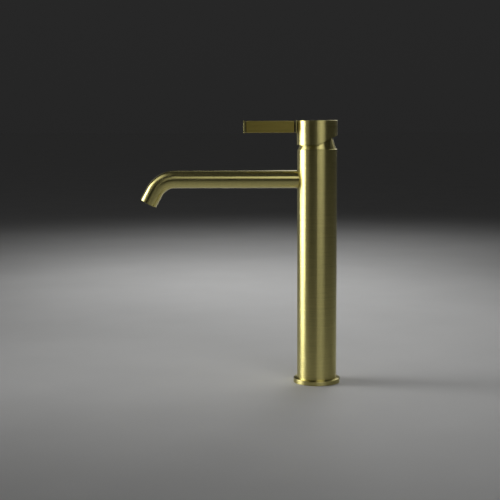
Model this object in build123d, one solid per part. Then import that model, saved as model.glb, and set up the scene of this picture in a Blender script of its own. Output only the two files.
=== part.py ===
from build123d import *
import os
from math import cos, radians, sin, tan

# Tall single-lever basin mixer with a side spout, in millimetres.
# The origin is on the worktop under the middle of the column, with +Z up.
# The spout and the closed lever point along -Y, and X = 0 is the plane of symmetry.

# Clearances
fit_clearance = 0.05  # pieces that are screwed, pressed or brazed together
running_fit = 0.10  # radial, a turning piece in its bore
running_gap = 0.30  # pieces that move past each other
ceramic_film = 0.02  # between the two lapped discs

# Cartridge
cartridge_diameter = 35.0
cartridge_wall = 1.9
cartridge_shoulder = 2.2
cartridge_base_height = 3.0
neck_diameter = 28.4
neck_wall = 2.2
neck_height = 15.0
disc_thickness = 2.5
mixing_pocket_depth = 1.5
mixing_pocket_rim = 2.4
inlet_port_radius = 2.75
outlet_port_radius = 3.5
inlet_spacing = 14.0
inlet_offset = 2.5  # in front of the axis
outlet_offset = 6.0  # behind the axis
port_overlap = 0.95  # closed disc past the inlet ports
port_seal_lip = 0.6
port_seal_width = 1.6
port_seal_depth = 1.5
peg_radius = 1.5
peg_length = 2.5
peg_spacing = 25.0
peg_offset = 7.0
carrier_plate_height = 2.5
carrier_floor = 0.4
carrier_peg_radius = 1.2
carrier_peg_length = 1.2
carrier_peg_spacing = 16.0
carrier_peg_offset = 5.0
key_width = 12.0
key_length = 17.0
key_height = 2.0
rotor_flange_height = 4.1
rotor_seal_depth = 1.4
rotor_seal_width = 2.2
rotor_seal_drop = 3.0  # from the top of the rotor
stem_size = 8.0
stem_drop = 4.5  # square part below the pivot
stem_arm_radius = 2.4
stem_edge = 0.5
ball_radius = 2.8
ball_side_gap = 0.15
pin_radius = 1.5
pin_inset = 0.9
pivot_rise = 0.5  # pivot over the top of the column
lift_angle = 25.0

# Valve seat
seat_wall = 1.7
seat_floor_web = 2.6
nut_thread_step = 0.9
nut_thread_length = 4.0
inlet_thread_radius = 4.5  # tapping bore of M10 x 1
inlet_thread_depth = 14.0
outlet_bore_radius = 3.0

# Cartridge nut and collar
nut_collar_length = 5.0
nut_notch_width = 3.0
nut_notch_depth = 1.6
nut_notch_count = 4
collar_step = 1.0  # from the column's edge to the collar's foot
collar_height = 12.0
collar_slope = 18.4
collar_wall = 1.5

# Column and base
column_top = 266.0
column_wall = 2.25
column_ledge = 0.75
column_edge = 0.4
base_margin = 4.0
base_height = 5.0
base_floor = 2.0
base_edge = 1.0
base_lip = 1.5  # base ring inside the column's bore
base_seal_width = 3.0
base_seal_depth = 1.2
base_seal_margin = 2.5
base_insert_height = 12.0
hose_slot_radius = 6.0

# Fixing under the worktop
worktop_thickness = 20.0
stud_radius = 4.0  # M8
stud_offset = 12.0
stud_inset = 1.0
stud_length = 68.0
stud_hole_gap = 0.4
clamp_radius = 27.0
clamp_rubber_height = 3.0
clamp_plate_height = 3.0
clamp_plate_inset = 1.0
clamp_slot_gap = 1.2
clamp_nut_flange_radius = 8.5
clamp_nut_flange_height = 1.5
clamp_nut_across_flats = 13.0
clamp_nut_height = 10.0

# Spout
spout_diameter = 20.0
spout_wall = 2.0
spout_straight = 161.0  # from the column's axis to the bend
spout_bend_radius = 27.0
spout_bend_angle = 61.0
spout_end_length = 15.0
spout_edge = 0.3
spout_seat_depth = 3.7
nipple_spout_length = 8.0
nipple_seat_length = 7.5
nipple_seat_radius = 6.0
nipple_bore_radius = 3.5
nipple_seal_depth = 1.3
nipple_seal_width = 2.2

# Aerator in the end of the spout
aerator_wall = 1.4  # spout wall around the aerator
aerator_depth = 12.0
aerator_recess = 1.5
aerator_housing_wall = 1.5
aerator_lip = 0.8
aerator_seal_height = 1.7
aerator_seal_width = 2.4
grid_height = 2.5
grid_cell_radius = 0.7
grid_cell_wall = 0.35
grid_rim = 0.5
regulator_height = 3.0
regulator_plate = 1.4
regulator_hole_radius = 0.6
regulator_hole_count = 12
regulator_rim = 0.9
screen_plate = 0.6
screen_hole_radius = 0.5
screen_hole_wall = 0.4

# Handle cap
cap_gap = 4.5  # column to cap
cap_height = 27.5
cap_overhang = 0.5
cap_wall = 1.7
cap_roof = 6.0
cap_edge = 0.6
boss_radius = 9.0
boss_height = 7.0
socket_depth = 8.0
set_screw_radius = 2.5
set_screw_length = 6.0
set_screw_drop = 3.5  # below the underside of the roof
set_screw_key = 2.5
screw_plug_length = 2.0

# Lever
lever_length = 60.0
lever_height = 14.0
lever_thickness = 8.0
lever_edge = 1.0
root_flange = 1.0
root_groove = 1.8
tip_length = 2.5
tip_groove = 1.0
tip_edge = 0.1
groove_depth = 1.8
grip_inset = 0.3
line_count = 4
line_pitch = 2.7
line_width = 0.5
line_depth = 0.2
core_edge = 0.3
tenon_height = 10.0
tenon_thickness = 5.0
tenon_length = 10.0
tenon_web = 2.0
spigot_radius = 1.3
spigot_length = 6.0

# Radii from the cartridge outwards
cartridge_radius = cartridge_diameter / 2
cavity_radius = cartridge_radius - cartridge_wall
neck_radius = neck_diameter / 2
neck_bore = neck_radius - neck_wall
cup_radius = cartridge_radius + running_fit
nut_thread_radius = cup_radius + nut_thread_step
seat_radius = nut_thread_radius + seat_wall
column_seat_bore = seat_radius + fit_clearance
column_radius = column_seat_bore + column_wall
column_bore = column_seat_bore - column_ledge
cap_radius = column_radius + cap_overhang
cap_bore = cap_radius - cap_wall
base_radius = column_radius + base_margin
spout_radius = spout_diameter / 2
spout_bore = spout_radius - spout_wall
aerator_bore = spout_radius - aerator_wall

# Heights of the cartridge stack, from the column's top downwards
pivot_height = column_top + pivot_rise
shoulder_height = column_top - nut_thread_length
neck_top = shoulder_height + neck_height
cavity_top = shoulder_height - cartridge_shoulder
flange_top = cavity_top - running_gap
flange_bottom = flange_top - rotor_flange_height
carrier_top = flange_bottom - running_gap
carrier_bottom = carrier_top - carrier_plate_height
moving_disc_bottom = carrier_bottom - disc_thickness
fixed_disc_top = moving_disc_bottom - ceramic_film
fixed_disc_bottom = fixed_disc_top - disc_thickness
seat_floor = fixed_disc_bottom - cartridge_base_height
spout_height = seat_floor - seat_floor_web - spout_radius
inlet_top = spout_height - spout_radius
seat_bottom = inlet_top - inlet_thread_depth
spout_start = seat_radius - spout_seat_depth
nipple_start = spout_start - nipple_seat_length

# The stem's ball drives the disc: its travel at full lift
ball_height = carrier_bottom + carrier_floor + running_gap + ball_radius
stem_arm = pivot_height - ball_height
disc_travel = stem_arm * sin(radians(lift_angle))
disc_radius = cavity_radius - disc_travel / 2 - running_gap
disc_offset = disc_travel / 2

# Handle
cap_bottom = column_top + cap_gap
cap_top = cap_bottom + cap_height
roof_bottom = cap_top - cap_roof
boss_bottom = roof_bottom - boss_height
stem_top = boss_bottom + socket_depth
set_screw_height = roof_bottom - set_screw_drop
lever_axis = cap_top - lever_height / 2
grip_start = cap_radius + root_flange + root_groove
tip_end = cap_radius + lever_length
tip_start = tip_end - tip_length
grip_end = tip_start - tip_groove
core_thickness = lever_thickness - 2 * groove_depth
core_height = lever_height - 2 * groove_depth

inlets = [(side * inlet_spacing / 2, -inlet_offset) for side in (-1, 1)]
outlet = (0, outlet_offset)


def turned(*corners):
    """Ring or plug turned about the column's axis from (radius, height) corners."""
    profile = Plane.XZ * make_face(Polyline(*corners, close=True))
    return revolve(profile, Axis.Z)


def rod(radius, start, end):
    """Round bar between two points."""
    run = Vector(*end) - Vector(*start)
    return extrude(Plane(origin=start, z_dir=run) * Circle(radius), run.length)


def drum(radius, low, high, centre=(0, 0)):
    """Upright round bar between two heights."""
    return rod(radius, (*centre, low), (*centre, high))


def ring(outer, inner, low, high, centre=(0, 0)):
    """Upright ring between two heights."""
    profile = Pos(*centre, low) * (Circle(outer) - Circle(inner))
    return extrude(profile, high - low)


def block(x_size, y_low, y_high, z_low, z_high):
    """Block centred on the plane of symmetry."""
    middle = Pos(0, (y_low + y_high) / 2, (z_low + z_high) / 2)
    return middle * Box(x_size, y_high - y_low, z_high - z_low)


def bar(thickness, height, start, end, edge):
    """Bar with rounded long edges that runs along the lever, from and to a distance off the axis."""
    plane = Plane(origin=(0, -start, lever_axis), x_dir=(1, 0, 0), z_dir=(0, -1, 0))
    return extrude(plane * RectangleRounded(thickness, height, edge), end - start)


def rim(solid, place):
    """The widest of the round edges at the low (0) or high (-1) end of a solid."""
    edges = solid.edges().filter_by(GeomType.CIRCLE).group_by(Axis.Z)[place]
    return edges.sort_by(SortBy.RADIUS)[-1]


def column():
    tube = turned(
        (column_bore, base_floor),
        (column_radius, base_floor),
        (column_radius, column_top - column_edge),
        (column_radius - column_edge, column_top),
        (column_seat_bore, column_top),
        (column_seat_bore, seat_bottom),
        (column_bore, seat_bottom),
    )
    hole = rod(
        spout_radius + fit_clearance,
        (0, -2 * column_radius, spout_height),
        (0, 0, spout_height),
    )
    return tube - hole


def base_ring():
    body = turned(
        (column_bore - base_lip, 0),
        (base_radius, 0),
        (base_radius, base_height),
        (column_radius + fit_clearance, base_height),
        (column_radius + fit_clearance, base_floor),
        (column_bore - base_lip, base_floor),
    )
    return fillet(rim(body, -1), base_edge) - base_seal(fit_clearance)


def base_seal(gap=0.0):
    outer = base_radius - base_seal_margin
    inner = outer - base_seal_width
    return ring(outer + gap, inner - gap, 0, base_seal_depth)


def hose_slot(radius, low, high):
    """Upright slot around the way of both supply hoses."""
    sketch = Pos(0, -inlet_offset, low) * SlotCenterToCenter(inlet_spacing, 2 * radius)
    return extrude(sketch, high - low)


def base_insert():
    top = base_floor + base_insert_height
    plug = drum(column_bore - fit_clearance, base_floor, top)
    plug -= hose_slot(hose_slot_radius, base_floor, top)
    return plug - drum(stud_radius + fit_clearance, base_floor, top, (0, stud_offset))


def mounting_stud():
    top = base_floor + base_insert_height - stud_inset
    return drum(stud_radius, top - stud_length, top, (0, stud_offset))


def horseshoe(radius, low, high):
    """Horseshoe that slips round the hoses from the front, with a hole for the stud."""
    slot_radius = hose_slot_radius + clamp_slot_gap
    mouth = inlet_spacing + 2 * slot_radius
    shoe = drum(radius, low, high) - hose_slot(slot_radius, low, high)
    shoe -= block(mouth, -2 * radius, -inlet_offset, low, high)
    return shoe - drum(stud_radius + stud_hole_gap, low, high, (0, stud_offset))


def clamp_rubber():
    return horseshoe(clamp_radius, -worktop_thickness - clamp_rubber_height, -worktop_thickness)


def clamp_plate():
    top = -worktop_thickness - clamp_rubber_height
    return horseshoe(clamp_radius - clamp_plate_inset, top - clamp_plate_height, top)


def clamp_nut():
    top = -worktop_thickness - clamp_rubber_height - clamp_plate_height
    hexagon = RegularPolygon(clamp_nut_across_flats / 2, 6, major_radius=False)
    nut = extrude(Pos(0, stud_offset, top) * hexagon, -clamp_nut_height)
    nut += drum(clamp_nut_flange_radius, top - clamp_nut_flange_height, top, (0, stud_offset))
    bore = drum(stud_radius + fit_clearance, top - clamp_nut_height, top, (0, stud_offset))
    return nut - bore


def valve_seat():
    cup = turned(
        (0, seat_bottom),
        (seat_radius, seat_bottom),
        (seat_radius, column_top),
        (nut_thread_radius, column_top),
        (nut_thread_radius, shoulder_height),
        (cup_radius, shoulder_height),
        (cup_radius, seat_floor),
        (0, seat_floor),
    )
    for place in inlets:
        cup -= drum(inlet_port_radius, seat_bottom, seat_floor, place)
        cup -= drum(inlet_thread_radius, seat_bottom, inlet_top, place)
    cup -= drum(outlet_port_radius, spout_height, seat_floor, outlet)
    for side in (-1, 1):
        peg = (side * peg_spacing / 2, peg_offset)
        cup -= drum(peg_radius + fit_clearance, seat_floor - peg_length - running_gap, seat_floor, peg)
    for radius, reach in (
        (spout_radius + fit_clearance, -spout_start),
        (nipple_seat_radius + fit_clearance, -nipple_start),
        (outlet_bore_radius, outlet_offset),
    ):
        cup -= rod(radius, (0, -2 * seat_radius, spout_height), (0, reach, spout_height))
    return cup


def spout_path():
    """Centre line from the seat to the outlet."""
    bend = radians(spout_bend_angle)
    lead = spout_bend_radius * tan(bend / 2)
    corner = spout_straight + lead
    drop = lead + spout_end_length
    return FilletPolyline(
        (0, -spout_start, spout_height),
        (0, -corner, spout_height),
        (0, -corner - drop * cos(bend), spout_height - drop * sin(bend)),
        radius=spout_bend_radius,
    )


def outlet_plane():
    """Plane of the spout's end, with its Z pointing up into the spout."""
    path = spout_path()
    return Plane(origin=path @ 1, x_dir=(1, 0, 0), z_dir=-(path % 1))


def spout_tube():
    path = spout_path()
    section = Plane(origin=path @ 0, z_dir=path % 0) * (Circle(spout_radius) - Circle(spout_bore))
    tube = sweep(section, path)
    end = tube.faces().filter_by(GeomType.PLANE).sort_by(Axis.Y)[0]
    tube = chamfer(end.outer_wire().edges(), spout_edge)
    return tube - outlet_plane() * drum(aerator_bore, 0, aerator_depth)


def nipple_frame():
    """Frame at the seat's face with its Z along the spout."""
    return Plane(origin=(0, -spout_start, spout_height), x_dir=(1, 0, 0), z_dir=(0, -1, 0))


def nipple_rings(gap=0.0):
    """One ring in the spout and one in the seat, along the nipple's axis."""
    half = nipple_seal_width / 2 + gap
    rings = Part()
    for radius, middle in (
        (spout_bore - fit_clearance, nipple_spout_length / 2),
        (nipple_seat_radius, -nipple_seat_length / 2),
    ):
        rings += ring(radius + gap, radius - nipple_seal_depth - gap, middle - half, middle + half)
    return rings


def spout_nipple():
    body = drum(spout_bore - fit_clearance, 0, nipple_spout_length)
    body += drum(nipple_seat_radius, -nipple_seat_length, 0)
    body -= drum(nipple_bore_radius, -nipple_seat_length, nipple_spout_length)
    return nipple_frame() * (body - nipple_rings(fit_clearance))


def nipple_seals():
    return nipple_frame() * nipple_rings()


# Heights inside the aerator, from the spout's end inwards
grid_low = aerator_recess + aerator_lip
regulator_low = grid_low + grid_height
screen_low = regulator_low + regulator_height
aerator_seal_low = aerator_depth - aerator_seal_height
aerator_radius = aerator_bore - fit_clearance
aerator_inner = aerator_radius - aerator_housing_wall
insert_radius = aerator_inner - fit_clearance


def cells(cell_radius, wall, limit):
    """Places of a honeycomb of cells inside a circle."""
    pitch = cell_radius + wall / 2
    count = 2 * int(limit / pitch) + 1
    places = HexLocations(pitch, count, count)
    return [place for place in places if place.position.length + cell_radius < limit]


def aerator_seal():
    seal = ring(aerator_radius, aerator_radius - aerator_seal_width, aerator_seal_low, aerator_depth)
    return outlet_plane() * seal


def aerator_housing():
    sleeve = turned(
        (aerator_inner - aerator_lip, aerator_recess),
        (aerator_radius, aerator_recess),
        (aerator_radius, aerator_seal_low),
        (aerator_inner, aerator_seal_low),
        (aerator_inner, grid_low),
        (aerator_inner - aerator_lip, grid_low),
    )
    notch = block(aerator_lip * 2, -aerator_radius, aerator_radius, aerator_recess, grid_low)
    return outlet_plane() * (sleeve - notch - Rot(0, 0, 90) * notch)


def aerator_grid():
    limit = insert_radius - grid_rim
    places = cells(grid_cell_radius, grid_cell_wall, limit)
    holes = [place * RegularPolygon(grid_cell_radius, 6) for place in places]
    plate = Circle(insert_radius) - holes
    return outlet_plane() * extrude(Pos(0, 0, grid_low) * plate, grid_height)


def aerator_regulator():
    top = screen_low
    body = ring(insert_radius, insert_radius - regulator_rim, regulator_low, top)
    plate = drum(insert_radius, top - regulator_plate, top)
    spread = (insert_radius - regulator_rim) / 2
    for place in PolarLocations(spread, regulator_hole_count):
        plate -= place * drum(regulator_hole_radius, top - regulator_plate, top)
    return outlet_plane() * (body + plate)


def aerator_screen():
    limit = aerator_radius - aerator_seal_width
    places = cells(screen_hole_radius, screen_hole_wall, limit)
    holes = [place * RegularPolygon(screen_hole_radius, 4, rotation=45) for place in places]
    plate = extrude(Pos(0, 0, aerator_seal_low) * (Circle(insert_radius) - holes), -screen_plate)
    skirt = ring(insert_radius, insert_radius - regulator_rim, screen_low, aerator_seal_low)
    return outlet_plane() * (plate + skirt)


def port_rings(gap=0.0):
    """Seal ring around each port, on the seat's floor."""
    rings = Part()
    ports = [(place, inlet_port_radius) for place in inlets] + [(outlet, outlet_port_radius)]
    for place, radius in ports:
        inner = radius + port_seal_lip
        outer = inner + port_seal_width
        rings += ring(outer + gap, inner - gap, seat_floor, seat_floor + port_seal_depth, place)
    return rings


def port_holes(low, high):
    """The three waterways between two heights."""
    holes = drum(outlet_port_radius, low, high, outlet)
    for place in inlets:
        holes += drum(inlet_port_radius, low, high, place)
    return holes


def cartridge_base():
    plate = drum(cartridge_radius, seat_floor, fixed_disc_bottom)
    plate -= port_holes(seat_floor, fixed_disc_bottom) + port_rings(fit_clearance)
    for side in (-1, 1):
        plate += drum(peg_radius, seat_floor - peg_length, seat_floor, (side * peg_spacing / 2, peg_offset))
    return plate


def fixed_disc():
    plate = drum(cavity_radius - fit_clearance, fixed_disc_bottom, fixed_disc_top)
    return plate - port_holes(fixed_disc_bottom, fixed_disc_top)


def carrier_pegs(gap=0.0):
    """Two pegs under the carrier that take the moving disc along."""
    pegs = Part()
    for side in (-1, 1):
        place = (side * carrier_peg_spacing / 2, disc_offset - carrier_peg_offset)
        low = carrier_bottom - carrier_peg_length - gap
        pegs += drum(carrier_peg_radius + gap, low, carrier_bottom, place)
    return pegs


def moving_disc():
    centre = (0, disc_offset)
    plate = drum(disc_radius, moving_disc_bottom, carrier_bottom, centre)
    pocket_top = moving_disc_bottom + mixing_pocket_depth
    pocket = drum(disc_radius - mixing_pocket_rim, moving_disc_bottom, pocket_top, centre)
    front = inlet_port_radius - inlet_offset + port_overlap
    pocket -= block(2 * disc_radius, -2 * disc_radius, front, moving_disc_bottom, pocket_top)
    return plate - pocket - carrier_pegs(fit_clearance)


def disc_carrier():
    centre = (0, disc_offset)
    key_top = carrier_top + key_height
    body = drum(disc_radius, carrier_bottom, carrier_top, centre) + carrier_pegs()
    body += block(key_width, disc_offset - key_length / 2, disc_offset + key_length / 2, carrier_top, key_top)
    reach = ball_radius + running_gap
    pocket = block(2 * (ball_radius + ball_side_gap), -reach, reach, carrier_bottom + carrier_floor, key_top)
    return body - pocket


def cartridge_housing():
    return turned(
        (cavity_radius, fixed_disc_bottom),
        (cartridge_radius, fixed_disc_bottom),
        (cartridge_radius, shoulder_height),
        (neck_radius, shoulder_height),
        (neck_radius, neck_top),
        (neck_bore, neck_top),
        (neck_bore, cavity_top),
        (cavity_radius, cavity_top),
    )


def rotor_seal(gap=0.0):
    high = neck_top - rotor_seal_drop
    outer = neck_bore - fit_clearance
    inner = neck_bore - running_fit - rotor_seal_depth
    return ring(outer + gap, inner - gap, high - rotor_seal_width - gap, high + gap)


def cartridge_rotor():
    barrel_radius = neck_bore - running_fit
    body = drum(barrel_radius, flange_bottom, neck_top)
    body += drum(cavity_radius - running_gap, flange_bottom, flange_top)
    lean = radians(lift_angle)
    half = stem_size / 2
    reach = half / cos(lean) + (neck_top - pivot_height) * tan(lean) + running_gap
    body -= block(stem_size + 2 * running_gap, -reach, reach, flange_bottom, neck_top)
    groove_top = carrier_top + key_height + running_gap
    body -= block(key_width + 2 * running_fit, -cavity_radius, cavity_radius, flange_bottom, groove_top)
    body -= rod(pin_radius + fit_clearance, (-neck_bore, 0, pivot_height), (neck_bore, 0, pivot_height))
    return body - rotor_seal(fit_clearance)


def pivot_pin():
    half = neck_bore - running_fit - pin_inset
    return rod(pin_radius, (-half, 0, pivot_height), (half, 0, pivot_height))


def cartridge_stem():
    shank_bottom = pivot_height - stem_drop
    shank = block(stem_size, -stem_size / 2, stem_size / 2, shank_bottom, stem_top)
    shank = chamfer(shank.edges().group_by(Axis.Z)[-1], stem_edge)
    arm = drum(stem_arm_radius, ball_height, shank_bottom)
    ball = Pos(0, 0, ball_height) * Sphere(ball_radius)
    hole = rod(pin_radius + fit_clearance, (-stem_size, 0, pivot_height), (stem_size, 0, pivot_height))
    return shank + arm + ball - hole


def cartridge_nut():
    bore = neck_radius + running_gap
    top = column_top + nut_collar_length
    nut = turned(
        (bore, shoulder_height),
        (nut_thread_radius - fit_clearance, shoulder_height),
        (nut_thread_radius - fit_clearance, column_top),
        (cup_radius, column_top),
        (cup_radius, top),
        (bore, top),
    )
    for place in PolarLocations(cup_radius, nut_notch_count):
        nut -= place * Pos(0, 0, top) * Box(2 * cup_radius, nut_notch_width, 2 * nut_notch_depth)
    return nut


def collar():
    slope = tan(radians(collar_slope))
    foot = column_radius - collar_step
    skin = collar_wall / cos(radians(collar_slope))
    thread = cup_radius + fit_clearance
    thread_top = column_top + nut_collar_length + running_gap
    lip_low = column_top + collar_height - collar_wall

    def cone(height):
        return foot - (height - column_top) * slope

    return turned(
        (thread, column_top),
        (foot, column_top),
        (cone(column_top + collar_height), column_top + collar_height),
        (neck_radius + running_gap, column_top + collar_height),
        (neck_radius + running_gap, lip_low),
        (cone(lip_low) - skin, lip_low),
        (cone(thread_top) - skin, thread_top),
        (thread, thread_top),
    )


def cap_relief():
    """Wedge under the rear half of the cap, which comes level when the lever is up."""
    reach = 2 * cap_radius
    rise = reach * tan(radians(lift_angle))
    corners = ((0, cap_bottom), (reach, cap_bottom + rise), (reach, column_top), (0, column_top))
    return extrude(Plane.YZ * make_face(Polyline(*corners, close=True)), reach, both=True)


def tenon(gap=0.0):
    """Flat tenon of the lever inside the cap's front."""
    start = cap_radius - tenon_length
    half = tenon_height / 2 + gap
    y_high = -start + gap
    return block(tenon_thickness + 2 * gap, -cap_radius, y_high, lever_axis - half, lever_axis + half)


def handle_cap():
    blank = drum(cap_radius, cap_bottom, cap_top)
    blank = fillet(rim(blank, -1), cap_edge)
    inside = drum(cap_bore, cap_bottom, roof_bottom)
    inside -= drum(boss_radius, boss_bottom, roof_bottom)
    web_bottom = lever_axis - tenon_height / 2 - tenon_web
    inside -= block(tenon_thickness + 2 * tenon_web, -cap_radius, 0, web_bottom, roof_bottom)
    cap = blank - inside
    socket = stem_size / 2 + fit_clearance
    cap -= block(2 * socket, -socket, socket, boss_bottom, stem_top + fit_clearance)
    cap -= block(2 * socket, -socket, socket, web_bottom, boss_bottom)
    behind = (0, 2 * cap_radius, set_screw_height)
    cap -= rod(set_screw_radius + fit_clearance, (0, 0, set_screw_height), behind)
    return cap - tenon(fit_clearance) - cap_relief()


def set_screw():
    start = stem_size / 2
    end = start + set_screw_length
    screw = rod(set_screw_radius, (0, start, set_screw_height), (0, end, set_screw_height))
    face = Plane(origin=(0, end, set_screw_height), z_dir=(0, -1, 0))
    return screw - extrude(face * RegularPolygon(set_screw_key / 2, 6, major_radius=False), set_screw_key)


def screw_plug():
    start = cap_radius - screw_plug_length
    plug = rod(set_screw_radius, (0, start, set_screw_height), (0, 2 * cap_radius, set_screw_height))
    return plug & drum(cap_radius - fit_clearance, cap_bottom, cap_top)


def lever_bar():
    flange_end = cap_radius + root_flange
    flange = bar(lever_thickness, lever_height, 0, flange_end, lever_edge)
    core = bar(core_thickness, core_height, 0, tip_start, core_edge)
    lever = flange + core - drum(cap_radius + fit_clearance, cap_bottom, 2 * cap_top)
    front = -cap_radius - root_flange
    half = tenon_height / 2
    lever += tenon() + block(tenon_thickness, front, -cap_radius, lever_axis - half, lever_axis + half)
    return lever - spigot(fit_clearance)


def spigot(gap=0.0):
    """Round spigot of the tip inside the end of the bar."""
    start = (0, -tip_start + spigot_length + gap, lever_axis)
    return rod(spigot_radius + gap, start, (0, -tip_start, lever_axis))


def grip_lines(face):
    """Fine lines along both broad sides of the grip, whose surface is at a distance from its middle."""
    plane = Plane(origin=(0, -grip_start, lever_axis), x_dir=(1, 0, 0), z_dir=(0, -1, 0))
    half = line_width / 2
    line = make_face(Polyline((-line_depth, 0), (0, -half), (line_depth, 0), (0, half), close=True))
    rows = GridLocations(2 * face, line_pitch, 2, line_count)
    return extrude(plane * (Sketch() + [row * line for row in rows]), grip_end - grip_start)


def lever_grip():
    thickness = lever_thickness - 2 * grip_inset
    height = lever_height - 2 * grip_inset
    sleeve = bar(thickness, height, grip_start, grip_end, lever_edge)
    play = 2 * fit_clearance
    hole = bar(core_thickness + play, core_height + play, grip_start, grip_end, core_edge)
    return sleeve - hole - grip_lines(thickness / 2)


def lever_tip():
    end = bar(lever_thickness, lever_height, tip_start, tip_end, lever_edge)
    end = fillet(end.edges().group_by(Axis.Y)[0], tip_edge)
    return end + spigot()


pieces = {
    "column": column(),
    "base_ring": base_ring(),
    "base_seal": base_seal(),
    "base_insert": base_insert(),
    "mounting_stud": mounting_stud(),
    "clamp_rubber": clamp_rubber(),
    "clamp_plate": clamp_plate(),
    "clamp_nut": clamp_nut(),
    "valve_seat": valve_seat(),
    "spout_tube": spout_tube(),
    "spout_nipple": spout_nipple(),
    "nipple_seals": nipple_seals(),
    "aerator_seal": aerator_seal(),
    "aerator_housing": aerator_housing(),
    "aerator_grid": aerator_grid(),
    "aerator_regulator": aerator_regulator(),
    "aerator_screen": aerator_screen(),
    "cartridge_base": cartridge_base(),
    "cartridge_seals": port_rings(),
    "fixed_disc": fixed_disc(),
    "moving_disc": moving_disc(),
    "disc_carrier": disc_carrier(),
    "cartridge_housing": cartridge_housing(),
    "cartridge_rotor": cartridge_rotor(),
    "rotor_seal": rotor_seal(),
    "pivot_pin": pivot_pin(),
    "cartridge_stem": cartridge_stem(),
    "cartridge_nut": cartridge_nut(),
    "collar": collar(),
    "handle_cap": handle_cap(),
    "set_screw": set_screw(),
    "screw_plug": screw_plug(),
    "lever_bar": lever_bar(),
    "lever_grip": lever_grip(),
    "lever_tip": lever_tip(),
}

os.makedirs("parts", exist_ok=True)
for name, shape in pieces.items():
    export_step(shape, f"parts/{name}.step")
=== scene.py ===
from math import cos, pi, radians, sin, tan

import bmesh
import bpy
from mathutils import Matrix, Vector

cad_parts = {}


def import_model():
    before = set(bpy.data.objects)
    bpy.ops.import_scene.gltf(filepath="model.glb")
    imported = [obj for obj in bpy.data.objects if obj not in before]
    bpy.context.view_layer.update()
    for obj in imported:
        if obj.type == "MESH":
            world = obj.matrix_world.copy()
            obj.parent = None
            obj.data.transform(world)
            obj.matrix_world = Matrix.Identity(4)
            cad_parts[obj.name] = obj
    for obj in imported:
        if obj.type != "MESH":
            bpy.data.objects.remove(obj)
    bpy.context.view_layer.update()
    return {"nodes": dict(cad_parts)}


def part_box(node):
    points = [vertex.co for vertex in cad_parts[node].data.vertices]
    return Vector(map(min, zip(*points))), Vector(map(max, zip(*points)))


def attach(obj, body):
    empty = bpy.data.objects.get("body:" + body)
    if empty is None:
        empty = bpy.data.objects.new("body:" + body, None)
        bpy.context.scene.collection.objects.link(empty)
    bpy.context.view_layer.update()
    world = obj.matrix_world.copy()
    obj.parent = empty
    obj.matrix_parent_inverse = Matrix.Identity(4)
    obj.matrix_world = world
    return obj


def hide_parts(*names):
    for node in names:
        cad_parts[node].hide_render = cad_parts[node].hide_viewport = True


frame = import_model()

# Tall single-lever basin mixer: looks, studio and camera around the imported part.
# Lengths are in metres; sizes repeated from the part's source are written in millimetres times MM.

nodes = frame["nodes"]
scene = bpy.context.scene
MM = 0.001

# Spout, made again with a finer bend
SPOUT_HEIGHT = 231.98 * MM
SPOUT_START = 16.5 * MM
SPOUT_STRAIGHT = 161.0 * MM
SPOUT_BEND_RADIUS = 27.0 * MM
SPOUT_BEND = radians(61.0)
SPOUT_END = 15.0 * MM
SPOUT_RADIUS = 10.0 * MM
SPOUT_BORE = 8.0 * MM
SPOUT_EDGE = 0.3 * MM
AERATOR_BORE = 8.6 * MM
AERATOR_DEPTH = 12.0 * MM
SPOUT_SEGMENTS = 96
BEND_STEPS = 40
LIP_STEPS = 6

# Stud, made again with its thread
STUD_PITCH = 1.25 * MM
STUD_THREAD_DEPTH = 0.68 * MM
STUD_SEGMENTS = 40
WELD_DISTANCE = 1e-6
SLIVER_LENGTH = 1e-7

# Edges that turn by more than these angles, in degrees, stay sharp
SPOUT_SHARP = 30.0
STUD_SHARP = 25.0

# Distance from the column's axis to the end of the flange at the lever's root
LEVER_FLANGE_END = 24.0 * MM

# Colours
GOLD = (0.62, 0.555, 0.22)
# Painted shade: a darker copy of the gold for the lever's ruled grip
GRIP_GOLD_PAINTED_SHADE = (0.45, 0.37, 0.095)
BRASS = (0.74, 0.56, 0.24)
# Painted shade: dark colour for the bar in the gaps beside the grip
GAP_PAINTED_SHADE = (0.030, 0.026, 0.016)
FLOOR_DARK = (0.61, 0.61, 0.605)
FLOOR_LIGHT = (0.64, 0.64, 0.635)

# Part of the noise that is used, and how far it changes colour, roughness and surface
ROUGHNESS_NOISE = (0.3, 0.7)
COLOUR_NOISE = (0.32, 0.68)
STREAK_SHADES = (0.95, 1.04)
LINE_SPREAD = 0.04
LINE_BUMP = 0.12
LINE_DEPTH = 0.03 * MM
GRAIN_SPREAD = 0.06
GRAIN_DEPTH = 0.05 * MM
CLOUD_SCALE = 60.0
QUARTER_TURN = 0.25

# Floor and surroundings
FLOOR_HALF = 40.0
FLOOR_LEVEL = -0.3 * MM
FLOOR_CLOUD_SCALE = 6.0
FLOOR_ROUGHNESS = 0.7
WORLD_LEVEL = 0.019
WORLD_RISE = 0.0135

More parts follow.
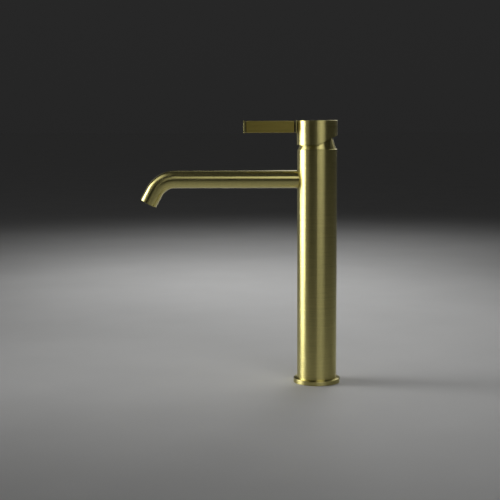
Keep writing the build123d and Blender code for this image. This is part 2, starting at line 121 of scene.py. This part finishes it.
# Lamps: name, place, aim, width, height, brightness from the front, half angle of the grid in degrees
OPEN_GRID = 80.0
LAMPS = (
    ("left_front_box", (0.22, -1.13, 0.25), (0.0, 0.0, 0.21), 0.36, 0.34, 7.0, 26.0),
    ("left_box", (-0.065, -1.15, 0.25), (0.0, 0.0, 0.21), 0.36, 0.34, 15.0, 26.0),
    ("left_rear_box", (-0.35, -1.10, 0.25), (0.0, 0.0, 0.21), 0.36, 0.34, 5.0, 26.0),
    ("left_high_box", (-0.065, -1.12, 0.60), (0.0, -0.16, 0.24), 0.60, 0.34, 8.0, 22.0),
    ("floor_box", (-0.98, -0.20, 1.10), (-0.72, -0.20, 0.0), 0.70, 0.80, 5.0, 23.0),
    ("left_top_box", (0.05, -0.95, 1.10), (0.0, -0.10, 0.20), 0.90, 0.60, 0.8, 50.0),
    ("left_panel", (0.66, -1.06, 0.40), (0.0, -0.02, 0.20), 0.50, 0.60, 0.24, 50.0),
    ("left_rear_panel", (-0.95, -0.75, 0.40), (0.0, 0.0, 0.20), 0.70, 0.60, 0.22, 50.0),
    ("right_rear_box", (-0.78, 0.45, 0.85), (0.0, 0.0, 0.05), 0.80, 0.80, 1.0, 60.0),
    ("rear_box", (-1.18, 0.21, 0.72), (0.0, 0.0, 0.18), 0.60, 0.56, 2.4, 38.0),
    ("rear_top_box", (-1.20, -0.10, 1.30), (-1.20, -0.10, 0.0), 0.80, 0.80, 4.5, 40.0),
    ("front_box", (1.55, -0.10, 0.95), (0.0, -0.05, 0.20), 0.50, 0.66, 0.16, OPEN_GRID),
    ("right_box", (1.24, 0.54, 0.86), (0.0, 0.0, 0.26), 1.30, 0.84, 2.8, 29.0),
    ("under_box", (0.60, -0.60, -0.80), (0.0, 0.0, -0.02), 0.90, 0.90, 5.0, OPEN_GRID),
)

# Camera: focal length and image side are in pixels of the photograph, angles in degrees
IMAGE_SIZE = 500.0
SENSOR_WIDTH = 36.0
CAMERA_FOCAL = 1155.6
CAMERA_PLACE = (1.3076, -0.0094, 0.2941)
CAMERA_HEADING = 92.92
CAMERA_PITCH = 6.22
CAMERA_ROLL = -0.225


# Node and material helpers


def node(tree, kind, **values):
    """New node; values are set on inputs or properties, and sockets are linked."""
    made = tree.nodes.new("ShaderNode" + kind)
    for key, value in values.items():
        if hasattr(made, key):
            setattr(made, key, value)
            continue
        name = key.replace("_", " ")
        socket = next(s for s in made.inputs if s.name.lower() == name.lower() and s.enabled)
        if isinstance(value, bpy.types.NodeSocket):
            tree.links.new(value, socket)
        else:
            socket.default_value = value
    return made


def principled(tree):
    """The material's own surface shader."""
    return next(n for n in tree.nodes if n.type == "BSDF_PRINCIPLED")


def new_material(name):
    made = bpy.data.materials.new(name)
    made.use_nodes = True
    tree = made.node_tree
    return made, tree, principled(tree)


def noise(tree, coordinates, scale, detail=3.0, rough=0.55):
    """Noise between 0 and 1 on coordinates stretched by a scale per axis."""
    mapping = node(tree, "Mapping", Vector=coordinates, Scale=scale)
    return node(
        tree, "TexNoise", Vector=mapping.outputs[0], Scale=1.0, Detail=detail, Roughness=rough
    ).outputs["Fac"]


def spread(tree, value, middle, reach):
    """Noise value widened to a range on both sides of a middle."""
    least, most = ROUGHNESS_NOISE
    return node(
        tree, "MapRange", Value=value, From_Min=least, From_Max=most,
        To_Min=middle - reach, To_Max=middle + reach,
    ).outputs[0]


def tint(tree, value, dark, light):
    """Colour between two by a noise value."""
    ramp = node(tree, "ValToRGB", Fac=value)
    for stop, place, colour in zip(ramp.color_ramp.elements, COLOUR_NOISE, (dark, light)):
        stop.position = place
        stop.color = (*colour, 1.0)
    return ramp.outputs[0]


def shade(colour, factor):
    return tuple(min(1.0, c * factor) for c in colour)


def brushed(name, colour, roughness, fine, coarse, across, source="Object", anisotropic=0.9):
    """Brushed metal: fine lines in bump and roughness, broader streaks in colour."""
    made, tree, shader = new_material(name)
    coordinates = node(tree, "TexCoord").outputs[source]
    lines = noise(tree, coordinates, fine, detail=4.0, rough=0.6)
    streaks = noise(tree, coordinates, coarse)
    dark, light = (shade(colour, factor) for factor in STREAK_SHADES)
    tree.links.new(tint(tree, streaks, dark, light), shader.inputs["Base Color"])
    tree.links.new(spread(tree, lines, roughness, LINE_SPREAD), shader.inputs["Roughness"])
    bump = node(tree, "Bump", Strength=LINE_BUMP, Distance=LINE_DEPTH, Height=lines)
    tree.links.new(bump.outputs[0], shader.inputs["Normal"])
    shader.inputs["Metallic"].default_value = 1.0
    shader.inputs["Anisotropic"].default_value = anisotropic
    tangent, turn = across(tree)
    tree.links.new(tangent, shader.inputs["Tangent"])
    shader.inputs["Anisotropic Rotation"].default_value = turn
    return made


def paint_gap_shade(made, edge):
    """Paints shade on the metal where Y is below an edge, such as the bar in the gaps beside the grip,
    where shade falls.
    """
    tree = made.node_tree
    shader = principled(tree)
    place = node(tree, "SeparateXYZ", Vector=node(tree, "TexCoord").outputs["Object"])
    bright = node(tree, "Math", operation="GREATER_THAN")
    tree.links.new(place.outputs["Y"], bright.inputs[0])
    bright.inputs[1].default_value = edge
    mix = node(tree, "Mix", data_type="RGBA")
    tree.links.new(bright.outputs[0], mix.inputs["Factor"])
    colour = shader.inputs["Base Color"].links[0].from_socket
    dark, light = [socket for socket in mix.inputs if socket.type == "RGBA"]
    dark.default_value = (*GAP_PAINTED_SHADE, 1.0)
    tree.links.new(colour, light)
    tree.links.new(next(o for o in mix.outputs if o.type == "RGBA"), shader.inputs["Base Color"])


def across_turning(tree):
    """Across lines that run round the upright axis: the tangent and its turn."""
    return node(tree, "Tangent", direction_type="RADIAL", axis="Z").outputs[0], QUARTER_TURN


def across_hoops(tree):
    """Across lines that run round a tube, along the first axis of its own map."""
    return node(tree, "Tangent", direction_type="UV_MAP").outputs[0], 0.0


def across_lever(tree):
    """Across lines along the lever, wherever the handle is turned."""
    axis = node(tree, "CombineXYZ", Y=1.0)
    turn = node(tree, "VectorTransform", vector_type="VECTOR", convert_from="OBJECT", convert_to="WORLD")
    tree.links.new(axis.outputs[0], turn.inputs[0])
    return turn.outputs[0], QUARTER_TURN


def plain(name, colour, roughness, scale, metallic=0.0, bump=0.1, contrast=0.06):
    """Plated, moulded or fired surface: soft clouds in colour, fine grain in roughness and bump."""
    made, tree, shader = new_material(name)
    coordinates = node(tree, "TexCoord").outputs["Object"]
    speck = noise(tree, coordinates, (scale,) * 3, detail=5.0, rough=0.6)
    cloud = noise(tree, coordinates, (CLOUD_SCALE,) * 3, detail=2.0)
    colours = tint(tree, cloud, shade(colour, 1.0 - contrast), shade(colour, 1.0 + contrast))
    tree.links.new(colours, shader.inputs["Base Color"])
    tree.links.new(spread(tree, speck, roughness, GRAIN_SPREAD), shader.inputs["Roughness"])
    shading = node(tree, "Bump", Strength=bump, Distance=GRAIN_DEPTH, Height=speck)
    tree.links.new(shading.outputs[0], shader.inputs["Normal"])
    shader.inputs["Metallic"].default_value = metallic
    return made


def lever_finish(name):
    """Gold brushed along the lever."""
    return brushed(name, GOLD, 0.28, (7000.0, 30.0, 7000.0), (900.0, 12.0, 900.0), across_lever)


turned_gold = brushed(
    "turned_gold", GOLD, 0.30, (30.0, 30.0, 7000.0), (12.0, 12.0, 900.0), across_turning
)
spout_gold = brushed(
    "spout_gold", GOLD, 0.22, (7000.0, 6.0, 1.0), (900.0, 2.0, 1.0), across_hoops, source="UV"
)
lever_gold = lever_finish("lever_gold")
# Ruled grip: its fine lines are real bump, its darker gold is painted shade of the grip's face
ruled_gold = brushed(
    "ruled_gold", GRIP_GOLD_PAINTED_SHADE, 0.34, (5000.0, 25.0, 5000.0), (700.0, 14.0, 700.0), across_lever,
    anisotropic=0.5,
)
flange_gold_painted_shade = lever_finish("flange_gold_painted_shade")
# Painted shade: the bar beyond the flange is coloured dark for the shade in the gaps beside the grip
paint_gap_shade(flange_gold_painted_shade, -LEVER_FLANGE_END)
machined_brass = brushed(
    "machined_brass", BRASS, 0.30, (60.0, 60.0, 5000.0), (30.0, 30.0, 800.0), across_turning,
    anisotropic=0.5,
)
zinc_steel = plain("zinc_steel", (0.58, 0.58, 0.60), 0.34, 900.0, metallic=1.0, contrast=0.10)
disc_ceramic = plain("disc_ceramic", (0.80, 0.79, 0.75), 0.22, 1500.0, bump=0.05, contrast=0.03)
grey_plastic = plain("grey_plastic", (0.30, 0.31, 0.33), 0.45, 1200.0)
white_plastic = plain("white_plastic", (0.76, 0.76, 0.73), 0.42, 1200.0, contrast=0.03)
dark_plastic = plain("dark_plastic", (0.035, 0.035, 0.038), 0.42, 1200.0, contrast=0.15)
black_rubber = plain("black_rubber", (0.020, 0.020, 0.021), 0.62, 900.0, bump=0.25, contrast=0.2)

BY_NODE = {
    turned_gold: ("column", "base_ring", "collar", "handle_cap"),
    spout_gold: ("spout_tube",),
    lever_gold: ("lever_tip", "screw_plug"),
    flange_gold_painted_shade: ("lever_bar",),
    ruled_gold: ("lever_grip",),
    machined_brass: (
        "valve_seat", "spout_nipple", "base_insert", "cartridge_nut", "cartridge_stem", "clamp_nut",
    ),
    zinc_steel: ("mounting_stud", "clamp_plate", "pivot_pin", "set_screw", "aerator_screen"),
    disc_ceramic: ("fixed_disc", "moving_disc"),
    grey_plastic: ("cartridge_base", "cartridge_housing"),
    white_plastic: ("cartridge_rotor", "disc_carrier"),
    dark_plastic: ("aerator_housing", "aerator_grid", "aerator_regulator"),
    black_rubber: (
        "base_seal", "clamp_rubber", "nipple_seals", "aerator_seal", "cartridge_seals", "rotor_seal",
    ),
}
for finish, names in BY_NODE.items():
    for name in names:
        mesh = nodes[name].data
        mesh.materials.clear()
        mesh.materials.append(finish)


# Pieces made again with finer form


def add_piece(name, mesh, finish, body, slot, *replaced, sharp):
    """Puts a mesh in the scene as a piece that rides on a body and stands for CAD nodes."""
    mesh.materials.append(finish)
    mesh.shade_smooth()
    mesh.set_sharp_from_angle(angle=radians(sharp))
    piece = bpy.data.objects.new(name, mesh)
    scene.collection.objects.link(piece)
    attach(piece, body)
    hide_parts(*replaced)


def spout_frame(reach):
    """Centre and direction of the spout's middle line at a length along it."""
    straight = SPOUT_STRAIGHT - SPOUT_START
    arc = SPOUT_BEND_RADIUS * SPOUT_BEND
    turn = min(max((reach - straight) / SPOUT_BEND_RADIUS, 0.0), SPOUT_BEND)
    y = SPOUT_START + min(reach, straight) + SPOUT_BEND_RADIUS * sin(turn)
    z = SPOUT_HEIGHT - SPOUT_BEND_RADIUS * (1.0 - cos(turn))
    over = max(reach - straight - arc, 0.0)
    direction = Vector((0.0, -cos(turn), -sin(turn)))
    return Vector((0.0, -y, z)) + direction * over, direction


def spout_profile():
    """(length along the middle line, radius) round the wall of the tube."""
    straight = SPOUT_STRAIGHT - SPOUT_START
    bend_end = straight + SPOUT_BEND_RADIUS * SPOUT_BEND
    end = bend_end + SPOUT_END
    run = [0.0, straight / 3, 2 * straight / 3]
    run += [straight + (bend_end - straight) * k / BEND_STEPS for k in range(BEND_STEPS + 1)]
    outside = [(reach, SPOUT_RADIUS) for reach in run]
    lip = [
        (end - SPOUT_EDGE * (1.0 - sin(a)), SPOUT_RADIUS - SPOUT_EDGE * (1.0 - cos(a)))
        for a in (k * pi / (2 * LIP_STEPS) for k in range(LIP_STEPS + 1))
    ]
    mouth = [(end, AERATOR_BORE + SPOUT_EDGE / 2), (end - SPOUT_EDGE / 2, AERATOR_BORE)]
    depth = end - AERATOR_DEPTH
    recess = [(depth, AERATOR_BORE), (depth, SPOUT_BORE)]
    inside = [(reach, SPOUT_BORE) for reach in reversed(run)]
    return outside + lip + mouth + recess + inside


def swept_mesh(name, profile, frame_at, segments):
    """Closed tube wall swept along a line, with its length and turn as UV map."""
    mesh = bpy.data.meshes.new(name)
    bm = bmesh.new()
    uv = bm.loops.layers.uv.new("UVMap")
    side = Vector((1.0, 0.0, 0.0))
    turns = [2 * pi * k / segments for k in range(segments)]
    rings = []
    for reach, radius in profile:
        centre, direction = frame_at(reach)
        up = direction.cross(side)
        rings.append([bm.verts.new(centre + radius * (cos(t) * side + sin(t) * up)) for t in turns])
    count = len(rings)
    for i in range(count):
        j = (i + 1) % count
        for k in range(segments):
            n = (k + 1) % segments
            face = bm.faces.new((rings[i][k], rings[i][n], rings[j][n], rings[j][k]))
            corners = ((i, k), (i, k + 1), (j, k + 1), (j, k))
            for loop, (ring, step) in zip(face.loops, corners):
                loop[uv].uv = (profile[ring][0], step / segments)
    bmesh.ops.recalc_face_normals(bm, faces=bm.faces)
    bm.to_mesh(mesh)
    bm.free()
    return mesh


add_piece(
    "spout_tube_smooth",
    swept_mesh("spout_tube_smooth", spout_profile(), spout_frame, SPOUT_SEGMENTS),
    spout_gold, "mixer_body", "brushed_gold", "spout_tube", sharp=SPOUT_SHARP,
)


def threaded_mesh(name, centre, radius, low, high, pitch, depth, segments):
    """Round bar with a screw thread and chamfered ends."""
    # (share of the pitch, cut below the crest) over one turn
    shape = ((0.0, depth), (0.125, depth), (0.5, 0.0), (0.625, 0.0))
    turns = int((high - low) / pitch) + 3
    mesh = bpy.data.meshes.new(name)
    bm = bmesh.new()
    rows = []
    for turn in range(turns):
        for along, cut in shape:
            row = []
            for k in range(segments + 1):
                raw = low - pitch + (turn + along + k / segments) * pitch
                z = min(max(raw, low), high)
                taper = max(0.0, depth - min(z - low, high - z))
                r = radius - max(cut, taper)
                angle = 2 * pi * k / segments
                row.append(bm.verts.new((centre.x + r * cos(angle), centre.y + r * sin(angle), z)))
            rows.append(row)
    for first, second in zip(rows, rows[1:]):
        for k in range(segments):
            bm.faces.new((first[k], first[k + 1], second[k + 1], second[k]))
    bmesh.ops.remove_doubles(bm, verts=bm.verts, dist=WELD_DISTANCE)
    bmesh.ops.dissolve_degenerate(bm, edges=bm.edges, dist=SLIVER_LENGTH)
    rim = [e for e in bm.edges if e.is_boundary]
    bmesh.ops.contextual_create(bm, geom=rim)
    bmesh.ops.recalc_face_normals(bm, faces=bm.faces)
    bm.to_mesh(mesh)
    bm.free()
    return mesh


stud_low, stud_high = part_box("mounting_stud")
stud_middle = (stud_low + stud_high) / 2
add_piece(
    "mounting_stud_threaded",
    threaded_mesh(
        "mounting_stud_threaded", stud_middle, (stud_high.x - stud_low.x) / 2,
        stud_low.z, stud_high.z, STUD_PITCH, STUD_THREAD_DEPTH, STUD_SEGMENTS,
    ),
    zinc_steel, "mixer_body", "plain_steel", "mounting_stud", sharp=STUD_SHARP,
)


# Stage


def floor():
    mesh = bpy.data.meshes.new("floor")
    signs = ((-1, -1), (1, -1), (1, 1), (-1, 1))
    corners = [(x * FLOOR_HALF, y * FLOOR_HALF, FLOOR_LEVEL) for x, y in signs]
    mesh.from_pydata(corners, [], [(0, 1, 2, 3)])
    made, tree, shader = new_material("pale_floor")
    coordinates = node(tree, "TexCoord").outputs["Object"]
    cloud = noise(tree, coordinates, (FLOOR_CLOUD_SCALE,) * 3, detail=2.0)
    tree.links.new(tint(tree, cloud, FLOOR_DARK, FLOOR_LIGHT), shader.inputs["Base Color"])
    shader.inputs["Roughness"].default_value = FLOOR_ROUGHNESS
    mesh.materials.append(made)
    piece = bpy.data.objects.new("floor", mesh)
    scene.collection.objects.link(piece)


def softbox(name, place, aim, width, height, brightness, grid):
    """Rectangular lamp that faces a point; its grid narrows the light."""
    lamp = bpy.data.lights.new(name, "AREA")
    lamp.shape = "RECTANGLE"
    lamp.size = width
    lamp.size_y = height
    half = radians(grid)
    lamp.spread = 2.0 * half
    lamp.energy = brightness * width * height * pi * (1.0 - half / tan(half))
    made = bpy.data.objects.new(name, lamp)
    made.location = place
    made.rotation_mode = "QUATERNION"
    made.rotation_quaternion = (Vector(aim) - Vector(place)).to_track_quat("-Z", "Y")
    made.visible_camera = False
    scene.collection.objects.link(made)


def world():
    """Dim surroundings that brighten from the horizon to the zenith."""
    made = bpy.data.worlds.new("studio")
    made.use_nodes = True
    tree = made.node_tree
    background = next(n for n in tree.nodes if n.type == "BACKGROUND")
    place = node(tree, "SeparateXYZ", Vector=node(tree, "TexCoord").outputs["Generated"])
    height = node(
        tree, "MapRange", Value=place.outputs["Z"], To_Min=WORLD_LEVEL, To_Max=WORLD_LEVEL + WORLD_RISE
    )
    tree.links.new(height.outputs[0], background.inputs["Color"])
    scene.world = made


def camera():
    lens = bpy.data.cameras.new("camera")
    lens.sensor_width = SENSOR_WIDTH
    lens.lens = SENSOR_WIDTH * CAMERA_FOCAL / IMAGE_SIZE
    made = bpy.data.objects.new("camera", lens)
    made.location = CAMERA_PLACE
    made.rotation_mode = "QUATERNION"
    heading = Matrix.Rotation(radians(CAMERA_HEADING), 3, "Z")
    tilt = Matrix.Rotation(radians(90.0 - CAMERA_PITCH), 3, "X")
    roll = Matrix.Rotation(radians(CAMERA_ROLL), 3, "Z")
    made.rotation_quaternion = (heading @ tilt @ roll).to_quaternion()
    scene.collection.objects.link(made)
    scene.camera = made


floor()
world()
for row in LAMPS:
    softbox(*row)
camera()

scene.view_settings.view_transform = "Standard"
